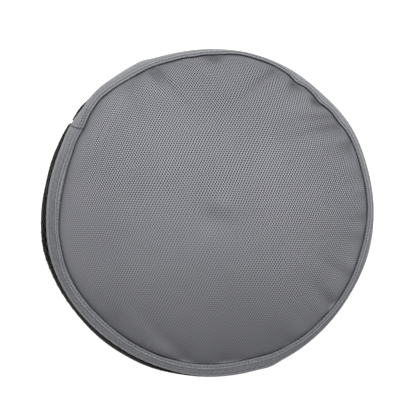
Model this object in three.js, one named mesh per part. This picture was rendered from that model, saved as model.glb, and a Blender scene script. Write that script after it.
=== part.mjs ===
// Kufi: a round cloth cap with a domed grey crown, a grey binding round its rim and a black wall.
// Millimetres, +Z up. The cap stands on its hem, centred on the Z axis, and is hollow and open below.

import * as THREE from 'three';

// Heights above the surface that the cap stands on
const rimHeight = 75; // top of the binding, at the foot of the domed crown
const crownRise = 32; // how far the middle of the crown stands above its rim
const hemHeight = 10; // depth of the turned hem at the head opening

// Cloth and clearances
const crownThickness = 1.6;
const wallThickness = 1.6;
const hemThickness = 2.6; // the turned hem is two layers
const tapeThickness = 0.9;
const gap = 0.3; // between neighbouring pieces

// Binding: a tape that lies over the rim and turns down outside the wall
const skirtDepth = 5.3; // below the rim
const undersideDrop = 2.3; // below the rim
const creaseDrop = 1.6; // where the crown meets the binding, below the rim

// Crown cloth: it swells out of the seam, then rises as a round dome that leans a little to one side
const domeLean = { towards: 45, share: 0.12 };
const swellHeight = 2.0;
const swellLength = 2.4;
const foldSetback = 1.5; // folds and dents fade out this close to the seam
const slopeAllowance = 0.4; // more upright thickness where the dome is steep
const seatShare = 0.985; // underside of the flange, just inside the seam
const seatDrop = 1.2;

// Wall: it bulges out below the binding, then leans outward to the hem
const bulgeOut = 2.5;
const bulgeDepth = 10;
const wallLean = 0.075; // outward, for each millimetre down
const wallFollow = 0.4; // how quickly the wall takes on the binding's outline on the way up
const waveDepth = 18; // waves of the wall are full this far below the binding

// Round the cap, in degrees counterclockwise from +X
const stationCount = 108;
const backSeam = { angle: 145, halfWidth: 0.8, depth: 1.1, fadeDepth: 4 };
const tapeJoin = { angle: 147.7, halfWidth: 0.25, overlap: 7, lift: 0.6 };
const rimCorner = { angle: 291, halfWidth: 3.5, out: 1.0 };

// Outline from above, every 15 degrees: radius of the binding's outer edge and of the crown seam
const outline = [
  { angle: 0, edge: 86.2, seam: 82.4 },
  { angle: 15, edge: 86.2, seam: 82.3 },
  { angle: 30, edge: 86.7, seam: 82.9 },
  { angle: 45, edge: 85.8, seam: 81.7 },
  { angle: 60, edge: 86.2, seam: 82.6 },
  { angle: 75, edge: 86.2, seam: 82.7 },
  { angle: 90, edge: 85.6, seam: 82.0 },
  { angle: 105, edge: 85.5, seam: 81.7 },
  { angle: 120, edge: 86.8, seam: 81.7 },
  { angle: 135, edge: 87.2, seam: 81.7 },
  { angle: 150, edge: 86.1, seam: 79.5 },
  { angle: 165, edge: 85.2, seam: 77.7 },
  { angle: 180, edge: 85.6, seam: 78.6 },
  { angle: 195, edge: 86.7, seam: 79.8 },
  { angle: 210, edge: 86.4, seam: 80.0 },
  { angle: 225, edge: 85.5, seam: 79.0 },
  { angle: 240, edge: 84.9, seam: 78.9 },
  { angle: 255, edge: 85.0, seam: 79.2 },
  { angle: 270, edge: 85.8, seam: 79.5 },
  { angle: 285, edge: 86.0, seam: 78.9 },
  { angle: 300, edge: 85.8, seam: 80.5 },
  { angle: 315, edge: 85.3, seam: 80.7 },
  { angle: 330, edge: 85.2, seam: 81.3 },
  { angle: 345, edge: 86.0, seam: 81.6 },
];
const meanEdge = outline.reduce((sum, row) => sum + row.edge, 0) / outline.length;

// Folds of the crown: each starts at the seam at rimAngle and runs inward along heading, in degrees.
// A positive height is a ridge, a negative one a valley.
const crownFolds = [
  { rimAngle: 16, heading: 196, length: 12, halfWidth: 4, height: -0.6 },
  { rimAngle: 24, heading: 202, length: 15, halfWidth: 4, height: -0.9 },
  { rimAngle: 29, heading: 195, length: 42, halfWidth: 5, height: 0.9 },
  { rimAngle: 34, heading: 176, length: 40, halfWidth: 4, height: -1.1 },
  { rimAngle: 45, heading: 212, length: 16, halfWidth: 4, height: -1.9 },
  { rimAngle: 57, heading: 225, length: 14, halfWidth: 4, height: -1.3 },
  { rimAngle: 62, heading: 216, length: 20, halfWidth: 5, height: 1.0 },
  { rimAngle: 73, heading: 255, length: 18, halfWidth: 8, height: -0.9 },
  { rimAngle: 89, heading: 268, length: 13, halfWidth: 7, height: -1.5 },
  { rimAngle: 108, heading: 303, length: 24, halfWidth: 4, height: -0.8 },
  { rimAngle: 113, heading: 308, length: 24, halfWidth: 4, height: 0.9 },
  { rimAngle: 231, heading: 40, length: 16, halfWidth: 6, height: -0.9 },
  { rimAngle: 243, heading: 50, length: 20, halfWidth: 6, height: 0.8 },
  { rimAngle: 257, heading: 72, length: 16, halfWidth: 6, height: -0.8 },
  { rimAngle: 326, heading: 150, length: 17, halfWidth: 4, height: -0.9 },
  { rimAngle: 334, heading: 160, length: 17, halfWidth: 4, height: 0.7 },
];

// Gentle upright waves of the wall cloth: outward where out is positive
const wallWaves = [
  { angle: 32, halfWidth: 11, out: -0.5 },
  { angle: 60, halfWidth: 10, out: 0.4 },
  { angle: 122, halfWidth: 10, out: -0.4 },
  { angle: 162, halfWidth: 8, out: -0.3 },
  { angle: 197, halfWidth: 8, out: 0.5 },
  { angle: 226, halfWidth: 9, out: -0.6 },
  { angle: 244, halfWidth: 8, out: -0.4 },
  { angle: 300, halfWidth: 10, out: 0.4 },
  { angle: 334, halfWidth: 9, out: -0.5 },
];

// Shallow round dents and swells away from the rim
const crownDents = [
  { x: 5, y: 6, radius: 9, height: 0.7 },
  { x: 7, y: -1, radius: 6, height: -0.7 },
];

// Where each cross-section has its points
const crownTopShares = [0, 0.25, 0.48, 0.64, 0.76, 0.85, 0.91, 0.955, 0.985, 1];
const crownUnderShares = [0.96, 0.9, 0.82, 0.7, 0.52, 0.28, 0];
const wallOuterHeights = [0, 12, 28, 42, 52, 59, 64.5, 69.4];
const wallInnerHeights = [69.4, 62, 50, 34, 14];

const radians = (degrees) => (degrees * Math.PI) / 180;

// Shortest way round from one angle to another, in degrees, signed
function turnBetween(fromAngle, toAngle) {
  return ((((toAngle - fromAngle + 180) % 360) + 360) % 360) - 180;
}

// Smooth closed curve through one column of the outline
function outlineAt(angle, column) {
  const count = outline.length;
  const place = (angle / 360) * count;
  const row = Math.floor(place);
  const part = place - row;
  const [before, start, end, after] = [-1, 0, 1, 2].map((k) => outline[(row + k + count) % count][column]);
  const cubic = 3 * (start - end) + after - before;
  const square = 2 * before - 5 * start + 4 * end - after;
  return start + 0.5 * part * (end - before + part * (square + part * cubic));
}

// The binding's outer edge, with the small corner where the tape is pinched
function edgeRadius(angle) {
  const away = turnBetween(rimCorner.angle, angle) / rimCorner.halfWidth;
  return outlineAt(angle, 'edge') + rimCorner.out * Math.exp(-away * away);
}

const seamRadius = (angle) => outlineAt(angle, 'seam');

// A ridge or valley that fades inward from the rim
function foldHeight(fold, x, y) {
  const startRadius = seamRadius(fold.rimAngle);
  const dx = x - startRadius * Math.cos(radians(fold.rimAngle));
  const dy = y - startRadius * Math.sin(radians(fold.rimAngle));
  const cosHeading = Math.cos(radians(fold.heading));
  const sinHeading = Math.sin(radians(fold.heading));
  const along = Math.max(0, dx * cosHeading + dy * sinHeading);
  const across = (dy * cosHeading - dx * sinHeading) / fold.halfWidth;
  const fade = Math.max(0, 1 - along / fold.length);
  return fold.height * Math.exp(-across * across) * fade * fade;
}

function dentHeight(dent, x, y) {
  const away = Math.hypot(x - dent.x, y - dent.y) / dent.radius;
  return dent.height * Math.exp(-away * away);
}

// Height of the dome above its rim: part of a sphere, raised on the side that it leans to
function domeHeight(angle, share) {
  const rimRadius = seamRadius(angle) - gap;
  const sphere = (rimRadius ** 2 + crownRise ** 2) / (2 * crownRise);
  const height = Math.sqrt(sphere ** 2 - (share * rimRadius) ** 2) - Math.sqrt(sphere ** 2 - rimRadius ** 2);
  return height * (1 + domeLean.share * share * Math.cos(radians(angle - domeLean.towards)));
}

// Height of the crown's upper face, at a share of the way from the axis to the seam
function crownHeight(angle, share) {
  const rimRadius = seamRadius(angle) - gap;
  const x = share * rimRadius * Math.cos(radians(angle));
  const y = share * rimRadius * Math.sin(radians(angle));
  const inset = (1 - share) * rimRadius;
  const folds = crownFolds.reduce((sum, fold) => sum + foldHeight(fold, x, y), 0);
  const dents = crownDents.reduce((sum, dent) => sum + dentHeight(dent, x, y), 0);
  const swell = swellHeight * (1 - Math.exp(-inset / swellLength));
  const settled = 1 - Math.exp(-inset / foldSetback);
  return rimHeight - creaseDrop + swell + domeHeight(angle, share) + settled * (folds + dents);
}

// Closed section of the crown: over the top, out under the binding, and back below
function crownSection(angle) {
  const rimRadius = seamRadius(angle) - gap;
  const flangeRadius = edgeRadius(angle) - tapeThickness - gap - wallThickness - gap;
  const flangeTop = rimHeight - undersideDrop - gap;
  const top = crownTopShares.map((share) => [share * rimRadius, crownHeight(angle, share)]);
  const under = crownUnderShares.map((share) => {
    return [share * rimRadius, crownHeight(angle, share) - crownThickness * (1 + slopeAllowance * share)];
  });
  const flange = [
    [rimRadius, flangeTop],
    [flangeRadius, flangeTop],
    [flangeRadius, flangeTop - crownThickness],
    [seatShare * rimRadius, flangeTop - seatDrop],
  ];
  return [...top, ...flange, ...under];
}

// The tape's end lies over its start: a steep step at the join that fades along the lapped stretch
function joinLift(angle) {
  const past = turnBetween(angle, tapeJoin.angle);
  if (past < -tapeJoin.halfWidth || past > tapeJoin.overlap) {
    return 0;
  }
  const step = Math.min(1, (past + tapeJoin.halfWidth) / (2 * tapeJoin.halfWidth));
  return tapeJoin.lift * step * (1 - Math.max(0, past) / tapeJoin.overlap);
}

// Closed section of the binding: rolled inner edge, stitch groove, flatter outer part, skirt
function bindingSection(angle) {
  const seam = seamRadius(angle);
  const edge = edgeRadius(angle);
  const width = edge - seam;
  const lift = joinLift(angle);
  const face = [
    { across: 0.08, height: -0.4 },
    { across: 0.2, height: 0.25 },
    { across: 0.33, height: 0.2 },
    { across: 0.45, height: -0.45 },
    { across: 0.55, height: 0 },
    { across: 0.75, height: -0.05 },
    { across: 0.92, height: -0.7 },
  ];
  return [
    [edge, rimHeight - undersideDrop],
    [edge, rimHeight - skirtDepth],
    [edge - tapeThickness, rimHeight - skirtDepth],
    [edge - tapeThickness, rimHeight - undersideDrop],
    [seam + gap, rimHeight - undersideDrop],
    [seam, rimHeight - creaseDrop],
    ...face.map((point) => [seam + point.across * width, rimHeight + point.height + lift]),
  ];
}

function waveOut(angle) {
  return wallWaves.reduce((sum, wave) => {
    const away = turnBetween(wave.angle, angle) / wave.halfWidth;
    return sum + wave.out * Math.exp(-away * away);
  }, 0);
}

// Outer face of the wall: it follows the binding at the top, and at the hem a circle with its waves
function wallRadius(angle, height) {
  const skirtFoot = rimHeight - skirtDepth - gap;
  const below = Math.max(0, skirtFoot - height);
  const follow = Math.min(1, height / skirtFoot) ** wallFollow;
  const bulge = bulgeOut * (1 - Math.exp(-below / bulgeDepth));
  const grooveShare = Math.max(0, 1 - Math.abs(turnBetween(backSeam.angle, angle)) / backSeam.halfWidth);
  const groove = backSeam.depth * grooveShare * Math.min(1, below / backSeam.fadeDepth);
  const edge = meanEdge + (edgeRadius(angle) - meanEdge) * follow;
  const waves = waveOut(angle) * Math.min(1, below / waveDepth);
  return edge - tapeThickness - gap + bulge + wallLean * below + waves - groove;
}

// Closed section of the wall: up the outside, over the raw top edge, down the inside to the hem
function wallSection(angle) {
  const top = rimHeight - undersideDrop - gap;
  const outer = wallOuterHeights.map((height) => [wallRadius(angle, height), height]);
  const inner = wallInnerHeights.map((height) => [wallRadius(angle, height) - wallThickness, height]);
  return [
    ...outer,
    [wallRadius(angle, top), top],
    [wallRadius(angle, top) - wallThickness, top],
    ...inner,
    [wallRadius(angle, hemHeight) - hemThickness, hemHeight],
    [wallRadius(angle, 0) - hemThickness, 0],
  ];
}

// Angles of the cross-sections: evenly spaced, with extra ones at the back seam and the tape's join
function stationAngles() {
  const even = Array.from({ length: stationCount }, (_, index) => (index * 360) / stationCount);
  const extra = [
    backSeam.angle - backSeam.halfWidth,
    backSeam.angle,
    backSeam.angle + backSeam.halfWidth,
    tapeJoin.angle - tapeJoin.halfWidth,
    tapeJoin.angle + tapeJoin.halfWidth,
  ];
  return [...even, ...extra].sort((a, b) => a - b);
}

// Carries a closed section of [radius, height] points round the axis. A point on the axis is one
// vertex that all the sections share, so a section that starts and ends there closes over.
function roundShell(sectionAt, clockwise) {
  const angles = stationAngles();
  const sections = angles.map(sectionAt);
  const pointCount = sections[0].length;
  const positions = [];
  const vertexAt = [];
  sections.forEach((section, station) => {
    vertexAt.push([]);
    section.forEach(([radius, height], point) => {
      const onAxis = radius === 0;
      if (onAxis && station > 0) {
        vertexAt[station].push(vertexAt[0][point]);
        return;
      }
      const angle = radians(angles[station]);
      vertexAt[station].push(positions.length / 3);
      positions.push(radius * Math.cos(angle), radius * Math.sin(angle), height);
    });
  });
  const triangles = [];
  const addTriangle = (a, b, c) => {
    if (a !== b && b !== c && c !== a) {
      triangles.push(...(clockwise ? [a, c, b] : [a, b, c]));
    }
  };
  for (let station = 0; station < angles.length; station += 1) {
    const here = vertexAt[station];
    const next = vertexAt[(station + 1) % angles.length];
    for (let point = 0; point < pointCount; point += 1) {
      const after = (point + 1) % pointCount;
      addTriangle(here[point], next[point], next[after]);
      addTriangle(here[point], next[after], here[after]);
    }
  }
  const geometry = new THREE.BufferGeometry();
  geometry.setAttribute('position', new THREE.Float32BufferAttribute(positions, 3));
  geometry.setIndex(triangles);
  geometry.computeVertexNormals();
  return geometry;
}

function cloth(colour, roughness) {
  return new THREE.MeshStandardMaterial({ color: colour, roughness, metalness: 0 });
}

function namedMesh(name, geometry, material) {
  const mesh = new THREE.Mesh(geometry, material);
  mesh.name = name;
  return mesh;
}

const kufi = new THREE.Group();
kufi.add(namedMesh('crown', roundShell(crownSection, true), cloth(0x86868c, 0.9)));
kufi.add(namedMesh('crown_binding', roundShell(bindingSection, true), cloth(0x7d7d81, 0.85)));
kufi.add(namedMesh('side_wall', roundShell(wallSection, false), cloth(0x15161a, 0.8)));

export default kufi;
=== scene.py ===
import math

import bpy
import numpy as np
from mathutils import Matrix, Vector


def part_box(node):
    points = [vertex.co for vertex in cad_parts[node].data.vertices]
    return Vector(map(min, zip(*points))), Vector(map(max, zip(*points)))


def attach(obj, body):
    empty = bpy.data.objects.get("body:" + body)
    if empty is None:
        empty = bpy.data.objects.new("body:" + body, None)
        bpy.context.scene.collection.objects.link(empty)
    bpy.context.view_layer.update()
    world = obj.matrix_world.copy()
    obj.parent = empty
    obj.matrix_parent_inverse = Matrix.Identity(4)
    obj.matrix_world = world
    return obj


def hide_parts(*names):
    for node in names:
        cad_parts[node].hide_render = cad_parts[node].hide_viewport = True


# A round cloth cap seen from above: grey pique crown, grey binding, black stitched wall.
# Shapes are worked out in millimetres and put into the meshes in metres.

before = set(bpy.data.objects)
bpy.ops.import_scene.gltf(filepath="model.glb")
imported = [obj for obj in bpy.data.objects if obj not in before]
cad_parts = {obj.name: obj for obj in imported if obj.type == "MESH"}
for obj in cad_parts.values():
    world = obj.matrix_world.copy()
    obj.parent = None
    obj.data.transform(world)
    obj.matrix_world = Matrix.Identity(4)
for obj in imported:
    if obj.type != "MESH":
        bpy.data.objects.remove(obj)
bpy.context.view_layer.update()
mm = 0.001  # one millimetre in metres

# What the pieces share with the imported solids
gap = 0.3  # between neighbouring pieces
bindingDepth = 2.3  # from its underside to the rim
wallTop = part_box("side_wall")[1].z / mm
undersideHeight = wallTop + gap
rimHeight = undersideHeight + bindingDepth
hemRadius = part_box("side_wall")[1].x / mm


# Small tools for tables and shapes


def table(columns, rows):
    # rows of numbers as dictionaries, by the names of their columns
    names = columns.split()
    return [dict(zip(names, row)) for row in rows]


def valuesOf(rows, name):
    # one column of a table as an array
    return np.array([row[name] for row in rows], float)


def turnFrom(centre, angle):
    # signed turn in degrees from centre to angle, the short way round
    return (angle - centre + 180) % 360 - 180


def hump(distance):
    # bell curve: e to the minus distance squared
    return np.exp(-distance * distance)


def smoothCurve(x, knots, heights):
    # cubic through the knots, its slope at each the mean slope between its two neighbours
    slopes = np.gradient(heights, knots)
    place = np.clip(np.searchsorted(knots, x, side="right") - 1, 0, len(knots) - 2)
    span = knots[place + 1] - knots[place]
    t = np.clip((x - knots[place]) / span, 0, 1)
    rise = heights[place + 1] - heights[place]
    startSlope, endSlope = slopes[place] * span, slopes[place + 1] * span
    return (
        heights[place]
        + t * startSlope
        + t * t * (3 * rise - 2 * startSlope - endSlope)
        + t * t * t * (startSlope + endSlope - 2 * rise)
    )


def roundCurve(angle, rows, name):
    # smooth closed curve through one column of a table whose rows stand at even angles
    values = valuesOf(rows, name)
    knots = np.arange(-2, len(values) + 3) * 360 / len(values)
    return smoothCurve(np.mod(angle, 360), knots, np.concatenate([values[-2:], values, values[:3]]))


def throughRows(place, rows):
    # smooth curve through a table of places and heights
    return smoothCurve(place, valuesOf(rows, "place"), valuesOf(rows, "height"))


def polar(radius, angle, height):
    # points at a radius, an angle in degrees and a height, as one array of x, y, z
    turn = np.radians(angle)
    return np.stack(np.broadcast_arrays(radius * np.cos(turn), radius * np.sin(turn), height), -1)


# Meshes from whole arrays


def putMesh(name, points, faces, uv, material, replaced=(), marks=None):
    # one mesh object at the origin: points in mm, faces as lists, uv in mm for each face corner,
    # marks as named numbers on the points, which the material reads
    mesh = bpy.data.meshes.new(name)
    mesh.from_pydata((np.asarray(points).reshape(-1, 3) * mm).tolist(), [], faces)
    mesh.polygons.foreach_set("use_smooth", np.ones(len(mesh.polygons), bool))
    layer = mesh.uv_layers.new(name="cloth")
    layer.data.foreach_set("uv", (np.asarray(uv, np.float32) * mm).ravel())
    for mark, numbers in (marks or {}).items():
        attribute = mesh.attributes.new(mark, "FLOAT", "POINT")
        attribute.data.foreach_set("value", np.asarray(numbers, np.float32).ravel())
    mesh.materials.append(material)
    piece = bpy.data.objects.new(name, mesh)
    bpy.context.scene.collection.objects.link(piece)
    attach(piece, "root")
    if replaced:
        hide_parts(*replaced)
    triangles = sum(len(face) - 2 for face in faces)
    print(f"{name}: {triangles} triangles")


def putRing(name, points, start, radius, material, replaced, marks=None):
    # a closed section carried round the cap, one column of points after another; uv is the arc from the
    # start angle at a radius, and the distance travelled along the section half way round
    columns, rows = points.shape[:2]
    sample = points[columns // 2]
    section = np.stack([np.hypot(sample[:, 0], sample[:, 1]), sample[:, 2]], -1)
    steps = np.diff(np.vstack([section, section[:1]]), axis=0)
    length = np.concatenate([[0], np.cumsum(np.hypot(steps[:, 0], steps[:, 1]))])
    arc = np.radians(start + 360 * np.arange(columns + 1) / columns) * radius
    column, row = np.meshgrid(np.arange(columns), np.arange(rows), indexing="ij")
    corners = [(column, row), (column + 1, row), (column + 1, row + 1), (column, row + 1)]
    faces = np.stack([c % columns * rows + r % rows for c, r in corners], -1).reshape(-1, 4)
    flat = np.stack([np.stack([arc[c], length[r]], -1) for c, r in corners], -2).reshape(-1, 2)
    putMesh(name, points, faces.tolist(), flat, material, replaced, marks)


# Shader maths


class Value:
    # wraps a socket; the operators on numbers add Math nodes, also with a plain number on the left
    def __init__(self, shader, socket):
        self.shader = shader
        self.socket = socket

    def __add__(self, other):
        return self.shader.maths("ADD", self, other)

    __radd__ = __add__

    def __sub__(self, other):
        return self.shader.maths("SUBTRACT", self, other)

    def __rsub__(self, other):
        return self.shader.maths("SUBTRACT", other, self)

    def __mul__(self, other):
        return self.shader.maths("MULTIPLY", self, other)

    __rmul__ = __mul__

    def __truediv__(self, other):
        return self.shader.maths("DIVIDE", self, other)

    def __rtruediv__(self, other):
        return self.shader.maths("DIVIDE", other, self)


class Shader:
    # builds one material's nodes
    def __init__(self, name):
        self.material = bpy.data.materials.new(name)
        self.material.use_nodes = True
        self.tree = self.material.node_tree
        self.tree.nodes.clear()

    def make(self, kind, settings=None, inputs=None):
        # a node of a type, its settings first, then values or links for its sockets
        node = self.tree.nodes.new(kind)
        for key, value in (settings or {}).items():
            setattr(node, key, value)
        for key, value in (inputs or {}).items():
            if isinstance(value, Value):
                self.tree.links.new(value.socket, node.inputs[key])
            else:
                node.inputs[key].default_value = value
        return node

    def read(self, node, output=0):
        # one output of a node
        return Value(self, node.outputs[output])

    def maths(self, operation, first, second=0.0):
        # one Math node
        return self.read(self.make("ShaderNodeMath", {"operation": operation}, {0: first, 1: second}))

    def wave(self, value, period):
        # cosine that repeats after each period
        return self.maths("COSINE", value * (2 * math.pi / period))

    def step(self, value, low, high):
        # smooth rise from 0 at low to 1 at high
        inputs = {"Value": value, "From Min": low, "From Max": high}
        return self.read(self.make("ShaderNodeMapRange", {"interpolation_type": "SMOOTHSTEP"}, inputs))

    def noise(self, vector, scale, detail):
        # noise from 0 to 1, its scale in turns per metre
        inputs = {"Vector": vector, "Scale": scale, "Detail": detail}
        return self.read(self.make("ShaderNodeTexNoise", {"noise_dimensions": "3D"}, inputs))

    def ridge(self, value, centre, width):
        # 1 where the value meets the centre, smoothly down to 0 at the width on both sides
        return 1.0 - self.step(self.maths("ABSOLUTE", value - centre), 0.0, width)

    def mark(self, name):
        # a number kept on the mesh's points
        return self.read(self.make("ShaderNodeAttribute", {"attribute_name": name}), "Fac")

    def mix(self, factor, first, second, blend="MIX"):
        # colours mixed by a factor
        settings = {"data_type": "RGBA", "blend_type": blend}
        return self.read(self.make("ShaderNodeMix", settings, {0: factor, 6: first, 7: second}), 2)

    def grey(self, value):
        # a grey as bright as the value, which may be up to 2.5
        return self.mix(value * 0.4, (0, 0, 0, 1), (2.5, 2.5, 2.5, 1))

    def layered(self, colour, layers):
        # the layers' colours mixed in, each over all before it, by its own factor
        for factor, name in layers:
            colour = self.mix(factor, colour, colours[name])
        return colour

    def objectPlace(self):
        # the place on the object in metres
        return self.read(self.make("ShaderNodeTexCoord"), "Object")

    def distances(self, vector):
        # the first two parts of a vector in metres, as distances in mm
        parts = self.make("ShaderNodeSeparateXYZ", None, {0: vector})
        return self.read(parts, 0) / mm, self.read(parts, 1) / mm

    def clothPlace(self):
        # the piece's own uv map as a vector, and as two distances in mm
        vector = self.read(self.make("ShaderNodeUVMap", {"uv_map": "cloth"}))
        return (vector, *self.distances(vector))

    def finish(self, colour, height, depth, roughness, constants):
        # Principled surface with a bump of the given depth in mm
        relief = {"Strength": 1.0, "Distance": depth * mm, "Height": height}
        bump = self.make("ShaderNodeBump", None, relief)
        inputs = {"Base Color": colour, "Roughness": roughness, "Normal": self.read(bump)}
        surface = self.make("ShaderNodeBsdfPrincipled", None, {**inputs, **constants})
        self.make("ShaderNodeOutputMaterial", None, {"Surface": self.read(surface)})
        return self.material


# Outline seen from above, in mm, every 15 degrees from +X, a quarter turn to a line, as in the solids

outline = table("edge seam", [
    (86.2, 82.4), (86.2, 82.3), (86.7, 82.9), (85.8, 81.7), (86.2, 82.6), (86.2, 82.7),
    (85.6, 82.0), (85.5, 81.7), (86.8, 81.7), (87.2, 81.7), (86.1, 79.5), (85.2, 77.7),
    (85.6, 78.6), (86.7, 79.8), (86.4, 80.0), (85.5, 79.0), (84.9, 78.9), (85.0, 79.2),
    (85.8, 79.5), (86.0, 78.9), (85.8, 80.5), (85.3, 80.7), (85.2, 81.3), (86.0, 81.6),
])

# Small swells, dips and corners of the binding's outer edge
edgeTurns = table("angle halfWidth out", [
    (37, 10, 0.4), (115, 3, 0.6), (126, 4, -0.3),
    (141.5, 5, -0.7), (157, 6, -0.4), (291, 3.5, 0.7),
])

# Small turns of the seam line where the crown is gathered into it
seamKinks = table("angle halfWidth out", [
    (35, 3, -0.5), (45.5, 2.6, -0.8), (56.8, 2.6, -1.1),
    (69, 7, 0.8), (80, 6, 1.0), (96.5, 2.4, -0.4),
    (105, 6, -0.5), (121, 8, -0.6), (135, 3, 0.3),
    (147, 4.5, -0.8), (157, 4, -0.3), (187, 5, 0.4),
    (200, 9, 0.4), (226, 18, 0.2), (270, 10, -0.3),
    (290, 12, 0.4), (300, 4, -0.5), (345, 14, -0.3),
])


def swells(angle, rows):
    # sum of bells round the cap
    return sum(row["out"] * hump(turnFrom(row["angle"], angle) / row["halfWidth"]) for row in rows)


def edgeRadius(angle):
    # binding's outer edge: the outline and its small turns
    return roundCurve(angle, outline, "edge") + swells(angle, edgeTurns)


def seamRadius(angle):
    # seam between crown and binding: the outline and its kinks
    return roundCurve(angle, outline, "seam") + swells(angle, seamKinks)


def seamInset(x, y):
    # how far a place lies inside the seam
    return seamRadius(np.degrees(np.arctan2(y, x))) - np.hypot(x, y)


# Crown

crown = {
    "rise": 32.0,  # middle above the rim
    "leanTowards": 45.0,  # the dome is a little higher on this side
    "leanShare": 0.12,
    "creaseDrop": 0.85,  # foot of the crown at the binding, below the rim
    "creaseDepth": 0.15,  # the seam line pressed further down
    "creaseLength": 0.5,
    "swellHeight": 1.25,  # the cloth swells up out of the seam
    "swellLength": 1.3,
    "foldSetback": 1.5,  # folds start this far from the seam
    "kinkLength": 3.0,
    "thickness": 1.6,
    "slopeAllowance": 0.4,  # more upright thickness where the dome is steep
    "seamGap": 0.18,  # between the crown's edge and the binding
    "flangeInset": 3.1,  # the hidden edge under the binding, in from the binding's outer edge
    "seatShare": 0.985,  # where the flange turns down into the underside
    "seatDrop": 1.2,
    "dimple": 0.11,  # depth of the weave's dots
    "wovenRadius": 72.0,  # inside this radius the mesh follows the weave
    "weaveFade": 6.0,  # and over this length up to it the relief of the weave fades out
    "clothSphere": 112.0,  # radius of the sphere over which the weave is laid flat
    "pull": 0.8,  # how far the grain bends where the cloth is folded
    "looseLength": 4.0,  # near the seam the cloth is held and bends less
    "gatherLength": 6.0,  # the fine ribs at the rim die away over this length
    "gatherEven": 1.2,  # share of their height all round
    "gatherSwing": 0.9,  # and what it gains on the right and loses on the left
    "gatherTurn": 0.1,
    "slopeStep": 0.5,  # length over which a fold's slope is measured
    "ringSteps": 22,
    "ringCrowding": 1.6,  # the rings stand closer together towards the seam
    "underSteps": 18,
    "underCrowding": 0.8,
    "underReach": 0.96,  # share of the seam's radius where the underside starts
}

weave = {  # two sets of ribs cross in the pique: turns per mm across and up, and how strong each is
    "first": (0.717, -0.343),
    "second": (-0.723, -0.535),
    "firstDepth": 0.44,
    "secondDepth": 0.36,
    "rowDepth": 0.26,
}

# The cloth lies a little unevenly: long waves in mm, with their lengths across and up
clothDrift = table("alongX alongY waveX waveY phase", [
    (0.40, 0.10, 95.0, 57.0, 1.0),
    (0.10, 0.30, 48.0, -71.0, 2.6),
    (-0.10, 0.10, -29.0, 33.0, 4.1),
])

# From the seam at angle inward along heading; a positive height is a ridge
crownFolds = table("angle heading length halfWidth height", [
    (5, 184, 16, 2.9, -0.8),
    (9, 190, 8, 3.5, 1.5),
    (13, 198, 19, 4.6, -2.2),
    (23, 202, 26, 5.5, -4.6),
    (29, 193, 44, 3.6, 1.3),
    (32, 194, 59, 3.7, -4.5),
    (37, 188, 46, 2.6, -2.1),
    (40, 188, 60, 5.6, 5.1),
    (46, 215, 8, 3.9, -4.0),
    (55, 229, 19, 3.1, -5.1),
    (64, 219, 56, 3.2, -4.6),
    (75, 249, 28, 6.3, 2.9),
    (89, 268, 8, 3.8, -4.8),
    (98, 279, 24, 7.3, 3.4),
    (112, 301, 45, 3.9, -3.5),
    (113, 308, 35, 2.4, -2.3),
    (125, 292, 35, 6.1, -4.6),
    (228, 43, 20, 4.9, -1.2),
    (238, 64, 20, 7.4, 2.4),
    (250, 47, 10, 8.6, 3.2),
    (254, 134, 80, 4.0, 1.2),
    (259, 60, 20, 6.1, -1.9),
    (262, 135, 75, 4.2, -1.4),
    (276, 96, 16, 11.0, -3.2),
    (300, 131, 21, 5.4, -2.4),
    (312, 137, 18, 4.2, -1.8),
    (322, 137, 34, 3.8, -3.8),
    (334, 150, 43, 4.0, -2.3),
    (338, 166, 10, 4.5, 2.9),
    (348, 168, 23, 3.3, -2.3),
    (357, 177, 19, 3.2, -2.0),
])

# Round dents and swells
crownDents = table("x y radius height", [
    (4, 2, 7, 2.8),
    (4, -2, 5, -0.3),
    (-3, -4, 6, -1.6),
    (42, 65.6, 2.6, -1.7),
    (54.2, 55.4, 2.6, -1.9),
    (1, 79, 2.6, -1.5),
])

# Spots of painted shade, most where the cloth is gathered into the seam, in which the weave is also made
# fainter; a negative shade is a spot of painted light
paintedShadingSpots = table("x y halfLength halfWidth turn shade", [
    (0.5, 80.8, 5.0, 2.6, 3, 0.8),
    (43.8, 66.6, 4.4, 1.9, -28, 0.9),
    (55, 57.4, 4.6, 1.9, -27, 1.0),
    (-30, 71, 6, 2.6, -50, 0.45),
    (-38, 71.4, 3, 1.8, 20, 0.5),
    (62, 47, 18, 9, -50, 0.24),
    (-58.4, 42.4, 22, 6, 54, -0.4),
])

# Fine ribs that run in from the seam, so many round the cap
rimGathers = table("count phase height", [
    (23, 0.4, 0.10), (37, 2.1, 0.09),
    (52, 1.2, 0.12), (71, 4.0, 0.06),
])


def alongAcross(x, y, startX, startY, heading):
    # distances from a start, along a heading in degrees and across it
    turn = math.radians(heading)
    dx, dy = x - startX, y - startY
    return dx * math.cos(turn) + dy * math.sin(turn), dy * math.cos(turn) - dx * math.sin(turn)


def foldHeights(x, y):
    # sum of the folds: a bell across each, fading as a square along it; and a round bell for each dent
    total = np.zeros_like(x)
    for fold in crownFolds:
        turn = math.radians(fold["angle"])
        start = float(seamRadius(fold["angle"]))
        startX, startY = start * math.cos(turn), start * math.sin(turn)
        along, across = alongAcross(x, y, startX, startY, fold["heading"])
        fade = np.maximum(0, 1 - np.maximum(0, along) / fold["length"]) ** 2
        total += fold["height"] * hump(across / fold["halfWidth"]) * fade
    for dent in crownDents:
        total += dent["height"] * hump(np.hypot(x - dent["x"], y - dent["y"]) / dent["radius"])
    return total


def paintedShadingAt(x, y):
    # painted shade: sum of long bells, each turned by its angle; a negative one is painted light
    total = np.zeros_like(x)
    for row in paintedShadingSpots:
        along, across = alongAcross(x, y, row["x"], row["y"], row["turn"])
        total += row["shade"] * hump(np.hypot(along / row["halfLength"], across / row["halfWidth"]))
    return total


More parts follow.
